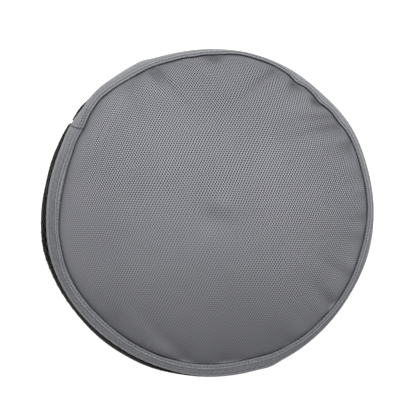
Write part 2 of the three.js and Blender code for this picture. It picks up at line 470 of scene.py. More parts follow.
def gatherHeights(angle, inset):
    # sines round the rim, strongest on the right, that die away inward
    turn = np.radians(angle)
    ribs = sum(row["height"] * np.sin(row["count"] * turn + row["phase"]) for row in rimGathers)
    share = crown["gatherEven"] + crown["gatherSwing"] * np.cos(turn + crown["gatherTurn"])
    return ribs * share * np.exp(-inset / crown["gatherLength"])


def domeHeight(angle, radius):
    # part of a sphere over the smooth outline, raised on the side that the dome leans to
    rim = roundCurve(angle, outline, "seam") - crown["seamGap"]
    sphere = (rim * rim + crown["rise"] ** 2) / (2 * crown["rise"])
    height = np.sqrt(sphere**2 - radius**2) - np.sqrt(sphere**2 - rim * rim)
    lean = crown["leanShare"] * radius / rim * np.cos(np.radians(angle - crown["leanTowards"]))
    return height * (1 + lean)


def crownHeight(x, y):
    # upper face: the swell out of the seam, the dome, then folds and gathers away from the seam;
    # what the dome would stand above the seam where that kinks dies away inward
    angle = np.degrees(np.arctan2(y, x))
    rim = seamRadius(angle) - crown["seamGap"]
    radius = np.minimum(np.hypot(x, y), rim)
    inset = rim - radius
    swell = crown["swellHeight"] * (1 - np.exp(-inset / crown["swellLength"]))
    crease = crown["creaseDepth"] * np.exp(-inset / crown["creaseLength"])
    settled = 1 - np.exp(-inset / crown["foldSetback"])
    relief = settled * (foldHeights(x, y) + gatherHeights(angle, inset))
    dome = domeHeight(angle, radius) - domeHeight(angle, rim) * np.exp(-inset / crown["kinkLength"])
    return rimHeight - crown["creaseDrop"] + swell + dome + relief - crease


def driftShift(x, y):
    # sum of long sine waves: how far the cloth lies from its even place
    shiftX, shiftY = np.zeros_like(x), np.zeros_like(x)
    for row in clothDrift:
        swing = np.sin(2 * np.pi * (x / row["waveX"] + y / row["waveY"]) + row["phase"])
        shiftX += row["alongX"] * swing
        shiftY += row["alongY"] * swing
    return shiftX, shiftY


def layFlat(x, y):
    # cloth coordinates of a place seen from above: its distance from the middle is the arc over a sphere
    radius = np.maximum(np.hypot(x, y), 1e-6)
    arc = crown["clothSphere"] * np.arcsin(np.minimum(radius / crown["clothSphere"], 1))
    return x * arc / radius, y * arc / radius


def liftOff(u, v):
    # the other way: where a point of the flat cloth lies seen from above
    arc = np.maximum(np.hypot(u, v), 1e-6)
    radius = crown["clothSphere"] * np.sin(arc / crown["clothSphere"])
    return u * radius / arc, v * radius / arc


def grainShift(x, y):
    # the drift, and the cloth drawn down the slope of its folds: minus the slope times the pull
    step = crown["slopeStep"]
    slopeX = (foldHeights(x + step, y) - foldHeights(x - step, y)) / (2 * step)
    slopeY = (foldHeights(x, y + step) - foldHeights(x, y - step)) / (2 * step)
    inset = np.maximum(0, seamInset(x, y) - crown["seamGap"])
    loose = 1 - np.exp(-inset / crown["looseLength"])
    driftX, driftY = driftShift(x, y)
    return loose * (driftX - crown["pull"] * slopeX), loose * (driftY - crown["pull"] * slopeY)


def weaveHeight(u, v):
    # 0 at the floor of a dot to about 2 on the ribs: one, less a cosine for each set of ribs and rows
    first = 2 * np.pi * (weave["first"][0] * u + weave["first"][1] * v)
    second = 2 * np.pi * (weave["second"][0] * u + weave["second"][1] * v)
    crossed = weave["rowDepth"] * np.cos(first + second)
    return 1 - weave["firstDepth"] * np.cos(first) - weave["secondDepth"] * np.cos(second) - crossed


def crownSurface(u, v, woven):
    # a point of the upper face: the cloth laid over the dome, drawn along its folds, with its weave
    x, y = liftOff(u, v)
    shiftX, shiftY = grainShift(x, y)
    placeX, placeY = x + shiftX, y + shiftY
    height = crownHeight(placeX, placeY) + woven * crown["dimple"] * (weaveHeight(u, v) - 1)
    return np.stack([placeX, placeY, height], -1)


def wovenGrid(reach):
    # a grid along both sets of ribs, with a point at each dot and between dots, out to the reach; the
    # points of its border are moved out to that circle and listed in order round it
    steps = np.linalg.inv(np.array([weave["first"], weave["second"]])) / 2
    count = math.ceil(2 * reach * float(np.linalg.norm(weave["second"]))) + 1
    cells = np.meshgrid(np.arange(-count, count), np.arange(-count, count), indexing="ij")
    column, row = cells[0].ravel(), cells[1].ravel()
    inside = np.hypot(*(steps @ np.stack([column + 0.5, row + 0.5]))) < reach
    width = 2 * count + 2
    offsets = ((0, 0), (0, 1), (1, 1), (1, 0))
    corners = [(column[inside] + a + count) * width + row[inside] + b + count for a, b in offsets]
    used, compact, shared = np.unique(np.stack(corners, -1), return_inverse=True, return_counts=True)
    u, v = steps @ np.stack([used // width - count, used % width - count])
    border = np.flatnonzero(shared < 4)
    border = border[np.argsort(np.arctan2(v[border], u[border]))]
    outward = reach / np.hypot(u[border], v[border])
    u[border] *= outward
    v[border] *= outward
    return u, v, compact.reshape(-1, 4), border


def crownUnderside(rim, turn):
    # the hidden edge under the binding, then rings that run in below the dome: the upper face less the
    # thickness, which grows with the slope
    angle = np.degrees(turn)
    flangeRadius = edgeRadius(angle) - crown["flangeInset"]
    flange = [
        polar(rim, angle, wallTop - crown["creaseDepth"]),
        polar(flangeRadius, angle, wallTop),
        polar(flangeRadius, angle, wallTop - crown["thickness"]),
        polar(rim * crown["seatShare"], angle, wallTop - crown["seatDrop"] - crown["creaseDepth"]),
    ]
    spread = 1 - np.linspace(0, 1, crown["underSteps"] + 1)[:-1]
    share = crown["underReach"] * spread ** crown["underCrowding"]
    x, y = np.outer(share, rim) * np.cos(turn), np.outer(share, rim) * np.sin(turn)
    thickness = crown["thickness"] * (1 + crown["slopeAllowance"] * share[:, None])
    return np.concatenate([flange, np.stack([x, y, crownHeight(x, y) - thickness], -1)])


def makeCrown(material):
    # the woven middle, rings round it that reach the seam, the underside and a pole that closes it
    reach = float(np.linalg.norm(layFlat(np.array(crown["wovenRadius"]), np.array(0.0))))
    u, v, middleFaces, border = wovenGrid(reach)
    woven = np.clip((reach - np.hypot(u, v)) / crown["weaveFade"], 0, 1)
    middle = crownSurface(u, v, woven)
    turn = np.arctan2(v[border], u[border])
    rim = seamRadius(np.degrees(turn)) - crown["seamGap"]
    share = 1 - (1 - np.linspace(0, 1, crown["ringSteps"] + 1)[1:]) ** crown["ringCrowding"]
    ringRadius = crown["wovenRadius"] + np.outer(share, rim - crown["wovenRadius"])
    ringU, ringV = layFlat(ringRadius * np.cos(turn), ringRadius * np.sin(turn))
    outer = np.concatenate([crownSurface(ringU, ringV, 0.0), crownUnderside(rim, turn)])
    centre = np.zeros(1)
    pole = np.array([[0.0, 0.0, float(crownHeight(centre, centre)[0]) - crown["thickness"]]])
    points = np.concatenate([middle, outer.reshape(-1, 3), pole])

    around = len(border)
    ringLoops = len(middle) + np.arange(len(outer) * around).reshape(-1, around)
    loops = np.concatenate([border[None], ringLoops])
    following = np.roll(loops, -1, axis=1)
    ringQuads = np.stack([loops[:-1], loops[1:], following[1:], following[:-1]], -1).reshape(-1, 4)
    closing = np.stack([loops[-1], np.full(around, len(points) - 1), following[-1]], -1)

    ringFlat = np.stack([ringU, ringV], -1).reshape(-1, 2)
    hidden = len(middle) + len(ringFlat)
    flat = np.concatenate([np.stack([u, v], -1), ringFlat, points[hidden:, :2]])
    faces = middleFaces.tolist() + ringQuads.tolist() + closing.tolist()
    order = np.concatenate([middleFaces.ravel(), ringQuads.ravel(), closing.ravel()])
    x, y = points[:, 0], points[:, 1]
    # the distance in from the seam, and the spots of painted shade and painted light, for the material
    marks = {"seamInset": seamInset(x, y), "paintedSpotShade": paintedShadingAt(x, y)}
    putMesh("crown_pique", points, faces, flat[order], material, ["crown"], marks)


# Binding

binding = {
    "columns": 1500,
    "rowsTo": (0, 10, 30, 39),  # rows over the face, counted from the outer edge in
    "rowShares": (0.0, 0.4, 0.8, 1.0),  # and how far in over its width they have come
    "meshStart": 30.0,  # degrees before the join
    "join": 148.6,  # where the tape's end lies over its start
    "joinCurve": 1.4,  # degrees by which the join's line curves
    "joinStep": 0.3,  # degrees over which the lapped end steps up
    "overlap": 7.0,  # degrees over which it sinks back
    "lift": 0.8,  # how far it stands above the tape it lies on
    "tape": 0.9,  # thickness of the turned-down skirt
    "skirtDepth": 5.3,
    "footWaver": 0.12,  # the skirt's foot isn't quite even
    "stitchPitch": 1.72,
    "stitchIn": 1.45,  # from the seam
    "pucker": 0.015,  # depth of the dimple at each stitch
    "puckerWidth": 0.35,
    "creaseFade": 1.5,  # nearer the seam than this the creases stray less
    "dragFade": 0.15,  # share of the width over which the drag lines rise
    "tackCount": 327,  # back-tacks if they went all round
    "tackFirst": 127,
    "tackLast": 134,
    "tackIn": (2.0, 2.9),  # their two rows, from the seam
}

# Where the creases along the tape stray from the seam or run towards it
creaseTurns = table("angle halfWidth out", [
    (130, 12, 0.25), (170, 10, 0.6), (190, 8, -0.65),
    (206, 7, 0.5), (265, 10, 0.2),
])

# Height above the rim by distance in from the seam: the rolled edge and two creases
tapeInner = table("place height", [
    (0.0, -1.05), (0.16, -0.42), (0.4, 0.06), (0.75, 0.26),
    (1.05, 0.16), (1.45, -0.2), (1.8, 0.1), (2.15, 0.22),
    (2.45, 0.08), (2.75, -0.1), (3.2, -0.02), (4.0, 0.0),
    (12.0, 0.0),
])

# Its fall towards the outer edge, by distance in from there
tapeOuter = table("place height", [
    (0.0, -2.1), (0.16, -1.35), (0.4, -0.95), (0.85, -0.52),
    (1.5, -0.24), (2.4, -0.1), (3.6, -0.02), (12.0, 0.0),
])

# Section of the turned-down skirt, by distances from the outer edge and from the skirt's foot
skirtSection = table("out up", [
    (-0.80, 0.10), (-0.45, -0.02), (-0.15, 0.08), (0.0, 0.35),
    (0.03, 1.2), (0.05, 2.2), (0.03, 3.0),
])

# Slanting waves where the tape is drawn round the curve: their lengths along it, how far each slants
# over the tape's width, and the length over which each comes and goes
dragLines = table("height length slant group phase", [
    (0.06, 3.1, 8.168, 27.0, 1.0),
    (0.07, 19.0, 6.0, 67.0, 0.0),
])

tapeRadius = 83.0  # where lengths along the tape are measured


def pastJoin(angle, across):
    # degrees past the join, whose line curves back towards the seam
    return -turnFrom(binding["join"] - binding["joinCurve"] * (1 - across) ** 2, angle)


def joinLift(angle, across):
    # the lapped end: a steep step at the join, sinking back along the lap
    past = pastJoin(angle, across)
    step = np.clip(0.5 + past / binding["joinStep"], 0, 1)
    return binding["lift"] * step * np.clip(1 - past / binding["overlap"], 0, 1)


def tapeWidth(angle):
    # the edge's radius less the seam's
    return edgeRadius(angle) - seamRadius(angle)


def creasePlace(angle, across):
    # distance in from the seam, less what the creases stray, which fades to nothing at the seam
    inner = across * tapeWidth(angle)
    return inner - swells(angle, creaseTurns) * np.clip(inner / binding["creaseFade"], 0, 1)


def tapeHeight(angle, across):
    # face of the binding: both sections added, the stitches' dimples, diagonal drag lines, the lap
    width = tapeWidth(angle)
    inner = creasePlace(angle, across)
    section = throughRows(inner, tapeInner) + throughRows((1 - across) * width, tapeOuter)
    arc = np.radians(angle) * tapeRadius
    beside = hump((inner - binding["stitchIn"]) / binding["puckerWidth"])
    dimples = binding["pucker"] * np.cos(2 * np.pi * arc / stitchSpacing()) * beside
    drag = sum(
        row["height"]
        * np.sin(2 * np.pi * arc / row["length"] + row["slant"] * across)
        * np.sin(2 * np.pi * arc / row["group"] + row["phase"])
        for row in dragLines
    )
    body = np.clip(across / binding["dragFade"], 0, 1)
    return rimHeight + section - dimples + drag * body + joinLift(angle, across)


def stitchSpacing():
    # the topstitch pitch, fitted so that a whole number of stitches goes round
    return 2 * np.pi * tapeRadius / round(2 * np.pi * tapeRadius / binding["stitchPitch"])


def tapePoint(angle, across):
    # point of the binding's face
    radius = seamRadius(angle) + across * tapeWidth(angle)
    return polar(radius, angle, tapeHeight(angle, across))


def makeBinding(material):
    # closed section carried round: up the skirt, in over the face to the seam, back underneath; the
    # skirt's foot wavers by the product of two sines
    columns = binding["columns"]
    angle = (binding["join"] - binding["meshStart"] + 360 * np.arange(columns) / columns)[:, None]
    edge, seam = edgeRadius(angle), seamRadius(angle)
    turn = np.radians(angle)
    waver = binding["footWaver"] * np.sin(31 * turn) * np.sin(7 * turn)
    foot = rimHeight - binding["skirtDepth"] + waver
    skirt = polar(edge + valuesOf(skirtSection, "out"), angle, foot + valuesOf(skirtSection, "up"))
    faceRows = np.arange(binding["rowsTo"][-1] + 1)
    across = 1 - np.interp(faceRows, binding["rowsTo"], binding["rowShares"])
    face = tapePoint(angle, across[None])
    inside = edge - binding["tape"]
    under = [
        polar(seam + gap, angle, undersideHeight),
        polar((seam + inside) / 2, angle, undersideHeight),
        polar(inside, angle, undersideHeight),
        polar(inside, angle, (undersideHeight + foot) / 2),
    ]
    points = np.concatenate([skirt, face, np.concatenate(under, 1)], 1)
    place = np.ones(points.shape[:2])
    place[:, len(skirtSection):len(skirtSection) + len(across)] = across
    marks = {"tapeAcross": place, "tapeIn": creasePlace(angle, place), "tapeLap": pastJoin(angle, place)}
    start, replaced = angle[0, 0], ["crown_binding"]
    putRing("rim_binding", points, start, tapeRadius, material, replaced, marks)


# Side wall

wall = {
    "columns": 900,
    "outerSteps": 38,
    "innerSteps": 14,
    "thickness": 1.6,
    "hemThickness": 2.6,
    "footHeights": (0.5, 1.2, 2.2),  # rows that round the hem's outer corner
    "bodyFrom": 3.5,  # and where the even rows start
    "innerFoot": 10.8,  # inside they end above the turned hem
    "tuckedHeight": 71.0,
    "edgeDrop": 0.2,
    "edgeRound": 0.3,  # rounding of the top edge
    "footRound": 0.4,  # and of the hem's two corners
    "skirtFoot": 69.4,  # the wall leaves the binding here
    "tuck": 1.2,  # under the binding it stands this far in from the binding's edge
    "bulgeOut": 2.5,  # below the binding it swells out
    "bulgeDepth": 10.0,
    "lean": 0.075,  # outward for each mm down
    "follow": 0.4,  # how slowly the binding's outline fades towards the hem
    "waveDepth": 18.0,  # the waves reach their full height this far down
    "backSeam": 145.4,
    "seamHalfWidth": 1.1,  # degrees
    "seamFlat": 1.5,  # the seam's groove has a flat floor and slanting sides
    "seamDepth": 2.8,
    "seamFade": 4.0,
}

# Inside of the turned hem: how much of its extra thickness it has at each height
hemSection = table("height share", [
    (10.3, 0.25), (9.6, 1.0), (6.0, 1.0), (2.0, 1.0), (0.5, 1.0),
])

# Gentle waves that run down the wall
wallWaves = table("angle halfWidth out", [
    (32, 11, -0.5), (60, 10, 0.4), (122, 10, -0.4),
    (133, 5, -0.6), (140.5, 2.4, 0.5), (168, 7, -0.6),
    (191, 8, 0.7), (218, 12, -0.6), (252, 8, 0.6),
    (300, 10, 0.4), (334, 9, -0.5),
])
meanEdge = float(np.mean(valuesOf(outline, "edge")))


def wallRadius(angle, height):
    # outer face: the binding's outline, fading to a circle at the hem, with the bulge and the lean
    below = np.maximum(0, wall["skirtFoot"] - height)
    follow = np.clip(height / wall["skirtFoot"], 0, 1) ** wall["follow"]
    bulge = wall["bulgeOut"] * (1 - np.exp(-below / wall["bulgeDepth"]))
    waves = swells(angle, wallWaves) * np.clip(below / wall["waveDepth"], 0, 1)
    aside = np.abs(turnFrom(wall["backSeam"], angle))
    seam = np.clip(wall["seamFlat"] - aside / wall["seamHalfWidth"], 0, 1)
    groove = wall["seamDepth"] * seam * np.clip(below / wall["seamFade"], 0, 1)
    edge = meanEdge + (edgeRadius(angle) - meanEdge) * follow
    return edge - wall["tuck"] + bulge + wall["lean"] * below + waves - groove


def makeWall(material):
    # closed section carried round: up the outside, over the top edge, down the inside, round the hem
    columns = wall["columns"]
    angle = (wall["backSeam"] + 360 * (np.arange(columns) + 0.5) / columns)[:, None]
    body = np.linspace(wall["bodyFrom"], wall["skirtFoot"], wall["outerSteps"])
    tucked = [wall["tuckedHeight"], wallTop - wall["edgeDrop"]]
    outerHeights = np.concatenate([wall["footHeights"], body, tucked])[None]
    outer = polar(wallRadius(angle, outerHeights), angle, outerHeights)
    topDepth = np.array([[wall["edgeRound"], wall["thickness"] - wall["edgeRound"]]])
    topRim = polar(wallRadius(angle, wallTop) - topDepth, angle, wallTop)
    body = np.linspace(wall["skirtFoot"], wall["innerFoot"], wall["innerSteps"])
    innerHeights = np.concatenate([[wallTop - wall["edgeRound"]], body])[None]
    inner = polar(wallRadius(angle, innerHeights) - wall["thickness"], angle, innerHeights)
    hemHeights = valuesOf(hemSection, "height")[None]
    fold = wall["hemThickness"] - wall["thickness"]
    hemDepth = wall["thickness"] + fold * valuesOf(hemSection, "share")
    hem = polar(wallRadius(angle, hemHeights) - hemDepth, angle, hemHeights)
    baseDepth = np.array([[wall["hemThickness"] - wall["footRound"], wall["footRound"]]])
    base = polar(wallRadius(angle, 0.0) - baseDepth, angle, 0.0)
    points = np.concatenate([outer, topRim, inner, hem, base], 1)
    putRing("wall_cloth", points, 0.0, hemRadius, material, ["side_wall"])


# Stitches: many short threads joined into one mesh

topThread = {"length": 1.56, "radius": 0.15, "proud": 0.12, "sides": 6, "rings": 5}
pickThread = {"length": 3.4, "radius": 0.32, "proud": 0.2, "sides": 6, "rings": 5}
latticeThread = {"radius": 0.17, "proud": 0.16, "sides": 5, "rings": 3}
stitchForm = {
    "bow": 1.6,  # how much of its height a thread loses at its ends
    "taper": 0.55,  # and of its thickness
    "endReach": 0.55,  # its poles lie this share of its length from its middle
    "endSink": 0.9,  # sunk by this share of its height
    "endDepth": 0.2,  # and by this much more
}
nearby = {  # short steps over which the direction of a face is measured
    "tapeAngle": 0.2,
    "tapeShare": 0.03,
    "wallAngle": 0.3,
    "wallHeight": 0.5,
}


def makeStitches(name, seats, thread, material):
    # seats are the threads' centres, directions and outward normals; each thread arches out of the
    # cloth: a tube round an arc that dips in at both ends, closed by two poles. One is worked out,
    # by distances along it, sideways and outward, and set at every seat
    centres, along, outward = seats
    length, radius, proud = thread["length"], thread["radius"], thread["proud"]
    sides, rings = thread["sides"], thread["rings"]
    along = along / np.linalg.norm(along, axis=-1, keepdims=True)
    outward = outward - along * np.sum(outward * along, -1, keepdims=True)
    outward = outward / np.linalg.norm(outward, axis=-1, keepdims=True)
    sideways = np.cross(along, outward)
    t = np.repeat(np.linspace(-1, 1, rings + 2)[1:-1], sides)
    turn = np.tile(2 * np.pi * np.arange(sides) / sides, rings)
    arch = proud * (1 - stitchForm["bow"] * t * t)
    thick = radius * (1 - stitchForm["taper"] * t * t)
    tube = np.stack([length / 2 * t, thick * np.cos(turn), arch + thick * np.sin(turn)], -1)
    reach = length * stitchForm["endReach"]
    sunk = -stitchForm["endSink"] * proud - stitchForm["endDepth"]
    form = np.concatenate([tube, [(-reach, 0, sunk), (reach, 0, sunk)]])
    points = centres[:, None] + form @ np.stack([along, sideways, outward], 1)
    ring, spoke = np.meshgrid(np.arange(rings - 1), np.arange(sides), indexing="ij")
    after = (spoke + 1) % sides
    here, above = ring * sides, (ring + 1) * sides
    quads = np.stack([here + spoke, here + after, above + after, above + spoke], -1)
    first, last = len(form) - 2, len(form) - 1
    lastRing = (rings - 1) * sides
    firstCap = np.stack([np.full(sides, first), after[0], spoke[0]], -1)
    lastCap = np.stack([np.full(sides, last), lastRing + spoke[0], lastRing + after[0]], -1)
    base = (np.arange(len(centres)) * points.shape[1])[:, None, None]
    quads = (quads.reshape(1, -1, 4) + base).reshape(-1, 4)
    caps = (np.concatenate([firstCap, lastCap])[None] + base).reshape(-1, 3)
    run = np.clip(form[:, 0], -length / 2, length / 2)
    girth = np.concatenate([radius * turn, [0, 0]])
    flat = np.tile(np.stack([run, girth], -1), (len(centres), 1))
    order = np.concatenate([quads.ravel(), caps.ravel()])
    putMesh(name, points, quads.tolist() + caps.tolist(), flat[order], material)


def topstitching(material):
    # one row in the groove of the binding, and the doubled rows of back-tacks at the join
    count = round(2 * np.pi * tapeRadius / stitchSpacing())
    evenAngles = np.degrees((np.arange(count) + 0.5) * stitchSpacing() / tapeRadius)
    tacks = np.arange(binding["tackFirst"], binding["tackLast"]) + 0.5
    tackAngles = 360 * tacks / binding["tackCount"]
    angles = np.concatenate([evenAngles, tackAngles, tackAngles])
    counts = [len(evenAngles), len(tackAngles), len(tackAngles)]
    inner = np.repeat([binding["stitchIn"], *binding["tackIn"]], counts)
    across = (inner + swells(angles, creaseTurns)) / tapeWidth(angles)
    centres = tapePoint(angles, across)
    turn, share = nearby["tapeAngle"], nearby["tapeShare"]
    along = tapePoint(angles + turn, across) - tapePoint(angles - turn, across)
    inward = tapePoint(angles, across - share) - tapePoint(angles, across + share)
    outward = np.cross(along, inward)
    outward *= np.sign(outward[:, 2:3])
    makeStitches("binding_topstitch", (centres, along, outward), topThread, material)


wallStitches = {
    "columns": 110,  # diamonds round the cap, 5 mm each at the binding
    "rows": 4,  # one above another
    "top": 68.4,
    "foot": 9.0,
    "threads": 3,  # along each side of a diamond
    "cover": 0.86,  # share of a side that its threads cover
    "pickRise": 0.4,  # the upper light threads stand this far above the top of the diamonds
}


def wallPoint(angle, height):
    # point of the wall's outer face
    return polar(wallRadius(angle, height), angle, height)


def wallFrame(angle, height, turn, climb):
    # centre, direction and outward normal on the wall for a thread that turns and climbs
    turn, climb = turn / 2, climb / 2
    along = wallPoint(angle + turn, height + climb) - wallPoint(angle - turn, height - climb)
    side, rise = nearby["wallAngle"], nearby["wallHeight"]
    sideways = wallPoint(angle + side, height) - wallPoint(angle - side, height)
    upward = wallPoint(angle, height + rise) - wallPoint(angle, height - rise)
    return wallPoint(angle, height), along, np.cross(sideways, upward)


def latticeStitching(material):
    # dark threads in tall diamonds: both diagonals of every half cell, each cut into short stitches
    across = 360 / wallStitches["columns"]
    halfRows = 2 * wallStitches["rows"]
    rise = (wallStitches["top"] - wallStitches["foot"]) / halfRows
    threads = wallStitches["threads"]
    ranges = [np.arange(wallStitches["columns"]), np.arange(halfRows), np.arange(threads), [-1, 1]]
    cell, row, piece, way = [grid.ravel() for grid in np.meshgrid(*ranges, indexing="ij")]
    part = (piece + 0.5) / threads
    start = np.where(row % 2 == 0, 0.0, 0.5)
    angle = wall["backSeam"] + across * (cell + 0.5 + start + way * 0.5 * part)
    height = wallStitches["top"] - rise * (row + part)
    seats = wallFrame(angle, height, way * across * 0.5 / threads, -rise / threads)
    side = float(np.median(np.linalg.norm(seats[1], axis=-1)))
    thread = {**latticeThread, "length": side * wallStitches["cover"]}
    makeStitches("wall_lattice_stitch", seats, thread, material)


def pickStitching(material):
    # light threads at the binding's lower edge and at the hem, one above the other
    count = wallStitches["columns"]
    angle = np.tile(wall["backSeam"] + 360 / count * (np.arange(count) + 0.5), 2)
    height = np.repeat([wallStitches["top"] + wallStitches["pickRise"], wallStitches["foot"]], count)
    seats = wallFrame(angle, height, 0.0, pickThread["length"])
    makeStitches("wall_pick_stitch", seats, pickThread, material)


# Materials

colours = {
    "piqueDark": (0.178, 0.180, 0.198, 1),
    "piquePale": (0.199, 0.2005, 0.219, 1),
    "piqueFuzz": (0.5, 0.5, 0.52, 1),
    "tapeDark": (0.177, 0.1805, 0.199, 1),
    "tapePale": (0.208, 0.2115, 0.232, 1),
    "tapeBetween": (0.085, 0.086, 0.098, 1),  # between its threads
    # painted shade towards the front of the tape
    "tapePaintedShade": (0.09, 0.09, 0.098, 1),
    # painted light towards the back of the tape
    "tapePaintedLight": (0.35, 0.357, 0.375, 1),
    # painted highlight on the tape's rounded outer edge
    "tapeEdgeHighlight": (0.328, 0.326, 0.337, 1),
    # painted highlights on the crests of a crease and of the rolled edge
    "tapeCreaseHighlight": (0.36, 0.366, 0.385, 1),
    "tapeRollHighlight": (0.35, 0.357, 0.377, 1),
    # painted shade in the grooves, at the seam and beside the lapped end, and the back-tacks' dark holes
    "tapeGrooveShadeAndHoles": (0.045, 0.049, 0.062, 1),
    "tapeFuzz": (0.5, 0.5, 0.51, 1),
    "wallDark": (0.005, 0.005, 0.006, 1),
    "wallPale": (0.008, 0.008, 0.0095, 1),
    "wallWale": (0.013, 0.013, 0.015, 1),
    "wallFuzz": (0.05, 0.05, 0.055, 1),
    "greyPly": ((0.19, 0.19, 0.20, 1), (0.40, 0.40, 0.41, 1)),
    "lightPly": ((0.32, 0.32, 0.33, 1), (0.62, 0.62, 0.63, 1)),
    "darkPly": ((0.012, 0.012, 0.014, 1), (0.035, 0.035, 0.038, 1)),
}
threadWidth = {  # mm from one thread or slant to the next
    "tapeRib": 0.62,
    "tapeCross": 0.46,
    "tapeWeft": 1.25,
    "tapeCoarse": 1.3,
    "wallWale": 0.85,
    "wallPick": 0.5,
    "fineTwist": 0.5,
    "thickTwist": 0.7,
}
bumpDepth = {"pique": 0.06, "tape": 0.08, "wall": 0.12, "thread": 0.05}
shine = {
    "pique": {"Specular IOR Level": 0.2},
    "tape": {"Specular IOR Level": 0.5},
    "wall": {"Specular IOR Level": 0.0},
    "thread": {"Specular IOR Level": 0.4},
}


def piqueMaterial():
    # light ribs and dark dots: the same sum of cosines as weaveHeight, the second set of ribs and the
    # rows stronger by turns in patches; all are clearer at the back and the right, softer at the left,
    # in the back right corner, along the seam and in the painted-shade spots. Shade is painted near the
    # back, near the front edge and in those spots, and light is painted at the front seam and in spots
    # with a negative shade
    shader = Shader("grey_pique_cloth")
    vector, u, v = shader.clothPlace()
    place = shader.objectPlace()
    x, y = shader.distances(place)
    unevenU = u + (shader.noise(vector, 420.0, 1.0) - 0.5) * 0.35
    unevenV = v + (shader.noise(vector, 390.0, 1.0) - 0.5) * 0.25
    first = shader.wave(unevenU * weave["first"][0] + unevenV * weave["first"][1], 1.0)
    second = shader.wave(unevenU * weave["second"][0] + unevenV * weave["second"][1], 1.0)
    rows = shader.wave(unevenV * (weave["first"][1] + weave["second"][1]), 1.0)
    patches = shader.step(shader.noise(place, 55.0, 1.0), 0.3, 0.7)
    firstPart = first * (weave["firstDepth"] * 1.25)
    secondPart = second * (weave["secondDepth"] * (0.65 + 0.9 * patches))
    rowPart = rows * (weave["rowDepth"] * (1.5 - 0.9 * patches))
    front = 0.25 + 0.15 * shader.step(y, -70.0, -20.0) + 0.57 * shader.step(y, -18.0, 30.0)
    right = shader.step(x, 0.0, 45.0) * shader.step(y, -75.0, -30.0) * (1.0 - shader.step(y, 8.0, 32.0))
    left = 0.6 + 0.4 * shader.step(x, -76.0, -52.0)
    corner = 1.0 - 0.3 * shader.step(x, 25.0, 62.0) * shader.step(y, 5.0, 45.0)
    inset, paintedSpotShade = shader.mark("seamInset"), shader.mark("paintedSpotShade")
    seamSoft = 0.35 + 0.65 * shader.step(inset, 1.0, 9.0)
    # the weave fades in the spots of painted shade
    loose = 1.0 - shader.step(paintedSpotShade, 0.0, 0.8)
    clarity = (front + 0.25 * right) * left * corner * seamSoft * loose * 1.5
    ribs = 1.0 - clarity * (firstPart + secondPart + rowPart)
    fibre = shader.noise(vector, 2600.0, 2.0)
    slow = shader.noise(place, 22.0, 3.0)
    ground = shader.mix(shader.step(slow, 0.3, 0.7), colours["piqueDark"], colours["piquePale"])
    # painted shade near the back, near the front edge and in the spots; painted light along the front
    # seam
    backPaintedShade = 0.17 * shader.step(y, 25.0, 62.0) * shader.ridge(x, 5.0, 85.0)
    frontPaintedShade = 0.2 * (1.0 - shader.step(y, -66.0, -20.0)) * (1.0 - shader.step(x, 25.0, 60.0))
    frontSeamPaintedLight = 0.25 * (1.0 - shader.step(y, -70.0, -20.0)) * shader.ridge(inset, 0.4, 1.1)
    paintedShade = backPaintedShade + frontPaintedShade + 0.3 * paintedSpotShade - frontSeamPaintedLight
    woven = shader.mix(1.0, ground, shader.grey(ribs * (1.0 - paintedShade)), "MULTIPLY")
    fuzzed = shader.mix((fibre - 0.5) * 0.3, woven, colours["piqueFuzz"])
    height = ribs * 0.3 + (fibre - 0.5) * 0.35
    return shader.finish(fuzzed, height, bumpDepth["pique"], 0.86 + 0.08 * fibre, shine["pique"])


